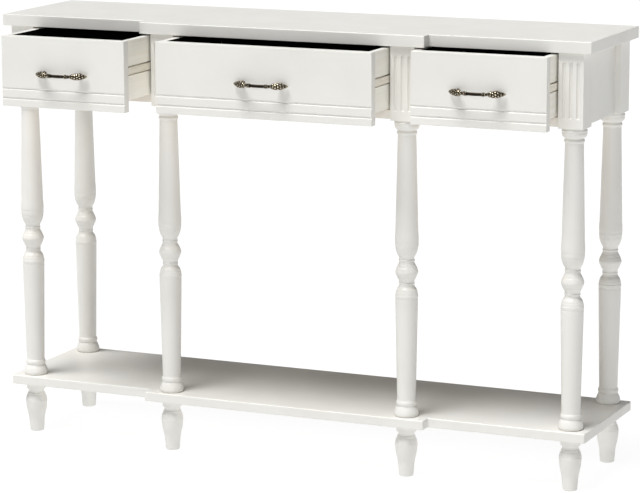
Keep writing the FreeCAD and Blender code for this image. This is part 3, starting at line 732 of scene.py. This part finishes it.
@dataclass
class Support:
    """One corner of the table: its post, the turned leg under it and the foot below the shelf."""

    place: str
    fluted: bool
    post_ease: float = 0.9
    flute_radius: float = 3.3
    flute_pitch: float = 13.6
    flute_foot: float = 18.0
    flute_head: float = 16.0
    flute_steps: int = 21
    flute_end_steps: int = 11
    edge_spread: float = 0.32

    # Radius, height and rise of the edge that follows, from the sole up.
    LEG = np.array([
        [21, 0, 0.3], [22.9, 2.2, 0.4], [23.3, 6.5, 0.7], [18.7, 18.6, 0], [18, 19.6, 0],
        [18, 20.6, 0], [18.9, 21.6, 0.9], [18.3, 29.2, 0], [17.5, 30, 0], [17.5, 31.4, 0],
        [21.3, 226, 0.15], [21.4, 231, 0], [20.7, 231.8, 0.9], [17.6, 243.4, -0.8],
        [13.9, 250.6, 0], [14.9, 251.6, 0], [14.9, 253.6, 0], [14.1, 254.6, -0.5],
        [16.6, 261.6, 0.4], [20.3, 270.4, 1.1], [20.3, 278.6, 0.4], [16.6, 287.4, -0.5],
        [14.1, 294.4, 0], [15, 295.4, 0], [15, 297.2, 0], [13.9, 298.4, -0.8],
        [17.3, 306.6, 0.9], [21.9, 326, 0.5], [21.3, 350, 0], [17.1, 531, 0], [18.5, 533, 0.5],
        [18.1, 537, 0.1], [16.8, 538.4, 0], [16.9, 539.6, 2.6], [22.9, 551, 0.9],
        [22.9, 555.2, 0], [21.6, 556, 0], [21.6, 558, 0],
    ])
    LEG_POINTS = 300
    # Height and depth of each scored line.
    LEG_SCORES = np.array([[224, 0.45], [238, 0.5], [265, 0.7], [284, 0.7],
                           [321, 0.45], [330.5, 0.4], [546.4, 0.3]])
    FOOT = np.array([
        [12.6, 0, 0], [13.6, 0.9, 0], [14.9, 17, -0.6], [17.9, 37, 0.5], [20.8, 57, 1.7],
        [17.1, 75.2, 0.9], [15.5, 78, 0], [15.4, 79.4, -1.4], [18.6, 86.2, 0], [18.9, 93.6, 0],
        [20, 94.2, 0.4], [20, 97.5, 0],
    ])
    FOOT_POINTS = 110
    FOOT_SCORES = np.array([[64.5, 0.5], [68, 0.4]])

    def flute_centres(self, middle: float) -> Array:
        """Where the three flutes' middle lines stand across the front face."""
        return middle + self.flute_pitch * np.array([-1.0, 0.0, 1.0])

    def front_flutes(self, middle: float, front: float) -> Array:
        """Points across the front face, close together at a flute's sides: c + R sin t."""
        turn = np.linspace(-math.pi / 2, math.pi / 2, self.flute_steps)
        xs = np.add.outer(self.flute_centres(middle), self.flute_radius * np.sin(turn)).ravel()
        return np.stack([xs, np.full(len(xs), front)], axis=1)

    def flute_depth(self, xs: Array, heights: Array, middle: float, total: float) -> Array:
        """Depth of the flutes: sqrt(R*R - d*d) at distance d from a flute's middle line."""
        across = np.abs(xs[:, None] - self.flute_centres(middle)).min(axis=1)[None]
        first = self.flute_foot + self.flute_radius
        last = total - self.flute_head - self.flute_radius
        along = np.maximum(np.maximum(first - heights, heights - last), 0)[:, None]
        return np.sqrt(np.maximum(self.flute_radius ** 2 - across ** 2 - along ** 2, 0))

    def post_shell(self) -> Shell:
        """The square post: its eased outline carried up, with the flutes sunk in its front."""
        low, high = node_box(f"post_{self.place}")
        total = high[2] - low[2]
        middle, front = (low[0] + high[0]) / 2, low[1]
        outline = softened(rectangle(low, high), self.post_ease)
        stations = np.array([])
        if self.fluted:
            outline = np.insert(outline, CORNER_STEPS, self.front_flutes(middle, front), axis=0)
            turn = 1 - np.cos(np.linspace(0, math.pi / 2, self.flute_end_steps))
            stations = np.concatenate([self.flute_foot + self.flute_radius * turn,
                                       total - self.flute_head - self.flute_radius * turn])
        places, margins = eased_run(0, total, (self.post_ease,) * 2, stations)
        flat = outline[None] - mitres(outline)[None] * margins[:, None, None]
        if self.fluted:
            depth = self.flute_depth(outline[:, 0], places, middle, total)
            on_front = np.isclose(outline[:, 1], front, rtol=0, atol=1e-6)
            flat[..., 1] += depth * on_front[None] * (margins[:, None] == 0)
        return ring_shell(np.insert(flat, 2, (low[2] + places)[:, None], axis=2))

    def turned_piece(self, kind: str, rows: Array, scores: Array, count: int) -> None:
        """Turn a leg or foot on the middle of its CAD node and lacquer it."""
        node = f"{kind}_{self.place}"
        low, high = node_box(node)
        outline = turned_outline(rows, scores, self.edge_spread, count)
        shell = turned_shell(outline, (low + high) / 2, low[2])
        white_piece(node, "turned", shell, TURNED_WHITE, TURNED_CREASE)

    def build(self) -> None:
        """Make the post, the leg and the foot."""
        white_piece(f"post_{self.place}", "block", self.post_shell(), WHITE, POST_CREASE)
        self.turned_piece("leg", self.LEG, self.LEG_SCORES, self.LEG_POINTS)
        self.turned_piece("foot", self.FOOT, self.FOOT_SCORES, self.FOOT_POINTS)


@dataclass
class Case:
    """The case between the posts: panels, rails, partitions, battens, dowels and studs."""

    ease: float = 0.7
    boards: dict[str, Axis] = field(default_factory=lambda: {
        "side_panel_left": Axis.Y, "side_panel_right": Axis.Y, "back_panel": Axis.X,
        "rail_left": Axis.X, "rail_middle": Axis.X, "rail_right": Axis.X})
    kept: dict[str, Finish] = field(default_factory=lambda: {
        "battens_left": PINE, "battens_middle": PINE, "battens_right": PINE,
        "partition_left": WHITE, "partition_right": WHITE, "dowels": BEECH, "leg_studs": ZINC})

    def build(self) -> None:
        """Make the boards, and dress the CAD nodes that keep their shape."""
        for node, axis in self.boards.items():
            shell = eased_box(node, axis, self.ease, (self.ease,) * 2)
            white_piece(node, "eased", shell, WHITE)
        for node, finish in self.kept.items():
            dress_node(node, finish)


@dataclass
class Runners:
    """A pair of folded steel channels with their screws, on the case or on a drawer."""

    node: str
    body: str
    sheet: float = 1.0
    bend: float = 0.7
    burr: float = 0.2
    end_ease: float = 0.15
    screw_places: tuple[float, ...] = (0.12, 0.5, 0.88)
    heads_outside: bool = False

    def channel(self, low: Array, high: Array, web_low: bool) -> list[Shell]:
        """One channel: a C section carried along Y, with pan heads on its web."""
        hand = 1 if web_low else -1
        web, tip = (low[0], high[0]) if web_low else (high[0], low[0])
        inner = web + self.sheet * hand
        corners = np.array([
            [web, low[2]], [tip, low[2]], [tip, low[2] + self.sheet],
            [inner, low[2] + self.sheet], [inner, high[2] - self.sheet],
            [tip, high[2] - self.sheet], [tip, high[2]], [web, high[2]]])
        setback = np.array([self.bend, *[self.burr] * 6, self.bend])
        section = softened(corners, setback, FINE_STEPS)
        if not web_low:
            section = section[::-1]
        shells = [board_shell(Axis.Y, section, low[1], high[1], (self.end_ease,) * 2)]
        seat, way = (web, -hand) if self.heads_outside else (inner, hand)
        for share in self.screw_places:
            place = np.array([seat, low[1] + (high[1] - low[1]) * share, (low[2] + high[2]) / 2])
            shells.append(pan_head(place, Axis.X, way))
        return shells

    def build(self, width: float) -> None:
        """Make both channels, with their webs as the pair's outer faces.

        Args:
            width: how far one channel reaches from its web, in millimetres.
        """
        low, high = node_box(self.node)
        shells = (self.channel(low, np.array([low[0] + width, high[1], high[2]]), True)
                  + self.channel(np.array([high[0] - width, low[1], low[2]]), high, False))
        piece(f"{self.node}_folded", joined(shells), [EPOXY], self.body, (self.node,),
              CHANNEL_CREASE)


@dataclass
class Handle:
    """A cast bow handle: plain bar, ringed collars, scaled leaf ends and the bosses behind them."""

    drawer: str
    centres: float = 76.0
    lift: float = 12.0
    projection: float = 25.0
    bar_radius: float = 3.0
    leaf_length: float = 34.0
    leaf_radius: float = 6.2
    leaf_slope: float = 25.0
    scale_rows: int = 7
    scales_round: int = 8
    scale_rise: float = 1.0
    ring_places: tuple[float, float] = (14.9, 20.7)
    bead_place: float = 17.8
    beads_round: int = 10

    def bow(self, middle: float, seat: float, level: float) -> Shell:
        """The bar on a circular arc, with three rings at each end, the middle one beaded.

        The radius is a gentle swell plus a bell-shaped rise at each ring, and round the beaded
        ring that rise also goes up and down with the cosine of the turn, once a bead.
        """
        half = self.centres / 2
        rise = self.projection - self.bar_radius - self.lift
        arc = (half ** 2 + rise ** 2) / (2 * rise)
        swing = np.linspace(-1, 1, 190) * math.asin((half - 6) / arc)
        path = np.stack([middle + arc * np.sin(swing),
                         seat - self.lift - rise + arc * (1 - np.cos(swing)),
                         np.full(len(swing), level)], axis=1)
        side = np.stack([np.sin(swing), -np.cos(swing), np.zeros(len(swing))], axis=1)
        turn = turns(40)[None]
        out = np.abs(arc * np.sin(swing))[:, None]
        rings = bell(out[..., None], np.array(self.ring_places), 0.85).sum(axis=-1)
        beads = bell(out, self.bead_place, 1.25) * (0.62 + 0.38 * np.cos(self.beads_round * turn))
        radius = (self.bar_radius - 0.35 * (out / 20).clip(0, 1) ** 2
                  + 1.15 * rings + 1.55 * beads)
        relief = 0.38 + 0.5 * rings.clip(0, 1) * np.ones_like(turn) + 0.62 * beads
        # Dirt stays in the grooves before the first ring and on both sides of the beads.
        relief -= 0.36 * bell(out, 13.2, 0.7) + 0.3 * (bell(out, 16.3, 0.5) + bell(out, 19.3, 0.5))
        return swept_shell(path, side, radius, relief.clip(0, 1))

    def leaf(self, middle: float, seat: float, level: float, hand: int) -> Shell:
        """A pointed end covered in staggered scales.

        The radius is sin(pi w) of the way w along it, fuller towards the bar. Each scale is a
        dome sqrt(1 - u*u - v*v) in its own cell, and alternate rows are half a scale round.
        """
        slope = math.radians(self.leaf_slope)
        along = np.array([hand * math.cos(slope), math.sin(slope), 0.0])
        centre = np.array([middle + hand * self.centres / 2, seat - self.lift, level])
        way = np.linspace(0, 1, 150)
        path = centre + along * (way[:, None] - 0.46) * self.leaf_length
        side = np.cross(along, [0, 0, 1])
        turn = np.linspace(0, 1, 108, endpoint=False)[None]
        rows = way[:, None] ** 0.9 * self.scale_rows
        row = np.floor(rows)
        u = (turn * self.scales_round + 0.5 * (row % 2)) % 1 - 0.5
        v = rows - row - 0.42
        dome = np.sqrt((1 - (2.15 * u) ** 2 - (1.9 * v) ** 2).clip(0, 1))
        swell = np.sin(math.pi * way ** 0.8)[:, None] ** 0.85
        fade = np.minimum(swell * 2.2, 1)
        body = 1.0 + (self.leaf_radius - 1.0) * swell
        radius = body + self.scale_rise * fade * (dome - 0.45)
        relief = 0.04 + 0.96 * dome ** 0.8
        tips = np.maximum(way - 0.93, 0)[:, None] * 12
        return swept_shell(path, side, radius, (relief + tips).clip(0, 1))

    def boss(self, middle: float, seat: float, level: float, hand: int) -> Shell:
        """The stem that stands on the drawer front, with a small flange at its foot."""
        out = np.array([0.0, 0.5, 1.0, 1.5, 2.2, 4.0, 7.0, 10.5, 12.0])
        size = np.array([5.2, 5.4, 5.2, 4.5, 3.7, 3.3, 3.3, 3.6, 3.6])
        path = np.stack([np.full(len(out), middle + hand * self.centres / 2), seat - out,
                         np.full(len(out), level)], axis=1)
        side = np.array([1.0, 0.0, 0.0])
        around, dull = 32, 0.22
        radius = np.repeat(size[:, None], around, axis=1)
        return swept_shell(path, side, radius, np.full(radius.shape, dull))

    def build(self) -> None:
        """Cast the handle in one piece, and plate its screws."""
        low, high = node_box(f"{self.drawer}_handle")
        middle, level, seat = (low[0] + high[0]) / 2, (low[2] + high[2]) / 2, high[1]
        shells = [self.bow(middle, seat, level)]
        for hand in (-1, 1):
            shells += [self.leaf(middle, seat, level, hand), self.boss(middle, seat, level, hand)]
        piece(f"{self.drawer}_handle_cast", joined(shells), [BRASS], f"{self.drawer}_drawer",
              (f"{self.drawer}_handle",), CAST_CREASE)
        dress_node(f"{self.drawer}_handle_screws", ZINC)


@dataclass
class Drawer:
    """One drawer: grooved front, slotted sides, back, bottom, runner channels and handle."""

    name: str
    groove_levels: tuple[float, float] = (34.0, 15.5)
    groove_half: float = 2.5
    groove_depth: float = 2.2
    slot_height: float = 18.0
    slot_depth: float = 6.0
    white_rim: float = 2.0
    channel_width: float = 7.5
    case_channel_width: float = 8.0

    def node(self, part: str) -> str:
        """The CAD node of one part of this drawer."""
        return f"{self.name}_drawer_{part}"

    def panel(self, part: str, shell: Shell, finishes: list[Finish],
              choose: FaceChooser) -> None:
        """Put one of the drawer's boards in place of its CAD node."""
        piece(f"{self.node(part)}_board", shell, finishes, f"{self.name}_drawer",
              (self.node(part),), BOARD_CREASE, choose)

    def inside(self) -> tuple[Array, Array]:
        """Lowest and highest corner of the drawer's hollow."""
        left = node_box(self.node("side_left"))[1]
        right = node_box(self.node("side_right"))[0]
        floor = node_box(self.node("bottom"))[1]
        back = node_box(self.node("back"))[0]
        front = node_box(self.node("front"))[1]
        return np.array([left[0], front[1], floor[2]]), np.array([right[0], back[1], front[2]])

    def make_front(self) -> None:
        """The front: a section with two level V grooves carried along X, black inside the box."""
        low, high = node_box(self.node("front"))
        hollow_low, hollow_high = self.inside()
        corners = [[low[1], low[2]], [high[1], low[2]], [high[1], hollow_low[2]],
                   [high[1], high[2]], [low[1], high[2]]]
        face, rear, lining, groove, vee = 1.0, 0.9, 0.3, 0.5, 0.3
        setback = [face, rear, lining, rear, face]
        for level in self.groove_levels:
            middle = low[2] + level
            corners += [[low[1], middle + self.groove_half],
                        [low[1] + self.groove_depth, middle], [low[1], middle - self.groove_half]]
            setback += [groove, vee, groove]
        outline = softened(np.array(corners), np.array(setback), FINE_STEPS)
        shell = board_shell(Axis.X, outline, low[0], high[0], (0.45, 0.45),
                            (hollow_low[0], hollow_high[0]))

        def choose(centres: Array, normals: Array) -> Array:
            """Black on the part of the rear face that closes the box."""
            return ((normals[:, 1] > FACING) & (centres[:, 2] > hollow_low[2])
                    & (centres[:, 0] > hollow_low[0]) & (centres[:, 0] < hollow_high[0]))

        self.panel("front", shell, [WHITE, BLACK], choose)

    def make_side(self, side: str, hand: int) -> None:
        """A side: a section with the runner's slot in its outer face, carried along Y."""
        low, high = node_box(self.node(f"side_{side}"))
        level = sum(box[2] for box in node_box(self.node("runners"))) / 2
        outer, inner = (low[0], high[0]) if hand < 0 else (high[0], low[0])
        floor = outer - hand * self.slot_depth
        corners = np.array([
            [outer, low[2]], [inner, low[2]], [inner, high[2]], [outer, high[2]],
            [outer, level + self.slot_height / 2], [floor, level + self.slot_height / 2],
            [floor, level - self.slot_height / 2], [outer, level - self.slot_height / 2]])
        under, top, mouth, bed = 0.8, 1.2, 0.6, 0.4
        setback = np.array([under, under, top, top, mouth, bed, bed, mouth])
        outline = softened(corners, setback, FINE_STEPS)
        if hand > 0:
            outline = outline[::-1]
        shell = board_shell(Axis.Y, outline, low[1], high[1], (0.2, 0.8))

        def choose(centres: Array, normals: Array) -> Array:
            """Cream outside, white along the top edge, black on the inner face."""
            on_rim = (normals[:, 2] > LEANING) & (centres[:, 2] > high[2] - self.white_rim)
            return np.where(normals[:, 0] * hand < -FACING, 2, np.where(on_rim, 1, 0))

        self.panel(f"side_{side}", shell, [CREAM, WHITE, BLACK], choose)

    def make_back(self) -> None:
        """The back: cream outside, white on its top edge and black inside."""
        shell = eased_box(self.node("back"), Axis.Y, 0.9, (0.8, 0.8))

        def choose(centres: Array, normals: Array) -> Array:
            """Black to the front, white on top, cream elsewhere."""
            on_rim = normals[:, 2] > LEANING
            return np.where(normals[:, 1] < -FACING, 2, np.where(on_rim, 1, 0))

        self.panel("back", shell, [CREAM, WHITE, BLACK], choose)

    def make_bottom(self) -> None:
        """The bottom: a thin board held in grooves, black above and bare below."""
        shell = eased_box(self.node("bottom"), Axis.Z, 0.8, (0.3, 0.3))

        def choose(centres: Array, normals: Array) -> Array:
            """Black above, bare wood below."""
            return normals[:, 2] < 0.5

        self.panel("bottom", shell, [BLACK, PINE], choose)

    def build(self) -> None:
        """Make the whole drawer and both halves of its runners."""
        self.make_front()
        for side, hand in (("left", -1), ("right", 1)):
            self.make_side(side, hand)
        self.make_back()
        self.make_bottom()
        own = Runners(self.node("runners"), f"{self.name}_drawer", heads_outside=True)
        own.build(self.channel_width)
        Runners(f"case_runners_{self.name}", "carcass").build(self.case_channel_width)
        Handle(self.name).build()


# ---- studio

@dataclass
class Studio:
    """The camera, the soft lights and the white floor round the table."""

    eye: tuple[float, float, float] = (2230.5, -4992.1, 1453.8)
    heading: float = 23.92
    dip: float = 10.94
    roll: float = -0.19
    lens: float = 162.97
    sensor: float = 36.0
    view_end: float = 200.0
    sky: str = "#FDFDFF"
    sky_strength: float = 0.17
    floor_half: float = 30.0

    def place_camera(self) -> None:
        """Stand the camera higher than the table's top, looking down on it from the right."""
        data = bpy.data.cameras.new("studio_camera")
        data.lens = self.lens
        data.sensor_width = self.sensor
        data.clip_end = self.view_end
        camera = add_object("studio_camera", data)
        camera.location = np.array(self.eye) * MM
        aim = Euler((math.radians(90 - self.dip), 0.0, math.radians(self.heading))).to_matrix()
        roll = Matrix.Rotation(math.radians(self.roll), 3, "Z")
        camera.rotation_euler = (aim @ roll).to_euler()
        bpy.context.scene.camera = camera

    def hang_sun(self, name: str, strength: float, height: float, heading: float,
                 softness: float) -> None:
        """A wide soft light from far off.

        Args:
            name: the light's name.
            strength: watts on a square metre.
            height: degrees above the floor.
            heading: degrees from straight ahead of the table, towards its right.
            softness: degrees across.
        """
        data = bpy.data.lights.new(name, "SUN")
        data.energy = strength
        data.angle = math.radians(softness)
        lamp = add_object(name, data)
        lamp.rotation_euler = (math.radians(90 - height), 0.0, math.radians(heading))

    def paint_sky(self) -> None:
        """An even pale surround."""
        world = bpy.data.worlds.new("studio_surround")
        world.use_nodes = True
        tree = world.node_tree
        tree.nodes.clear()
        light = add_node(tree, "ShaderNodeBackground",
                         {"Color": linear(self.sky), "Strength": self.sky_strength})
        add_node(tree, "ShaderNodeOutputWorld", {"Surface": light.outputs[0]})
        bpy.context.scene.world = world

    def lay_floor(self) -> None:
        """A wide white floor under the feet."""
        reach = self.floor_half
        mesh = bpy.data.meshes.new("studio_floor")
        mesh.from_pydata([(-reach, -reach, 0), (reach, -reach, 0), (reach, reach, 0),
                          (-reach, reach, 0)], [], [(0, 1, 2, 3)])
        mesh.materials.append(StudioFloor().material())
        add_object("studio_floor", mesh)

    def build(self) -> None:
        """Set up the whole studio."""
        self.place_camera()
        self.paint_sky()
        self.lay_floor()
        self.hang_sun("overhead", 3.5, 71.0, -30.0, 28.0)
        self.hang_sun("front_right", 0.4, 12.0, 22.0, 14.0)
        bpy.context.scene.view_settings.view_transform = "Standard"


def main() -> None:
    """Build the studio and the table, piece by piece."""
    logging.basicConfig(level=logging.INFO, format="%(name)s %(message)s")
    Studio().build()
    BreakfrontBoard("tabletop").build()
    BreakfrontBoard("shelf", edges=(1.2, 2.0)).build()
    for row in ("front", "inner", "rear"):
        for side in ("left", "right"):
            Support(f"{row}_{side}", fluted=row != "rear").build()
    Case().build()
    for name in ("left", "middle", "right"):
        Drawer(name).build()


if __name__ == "__main__":
    main()
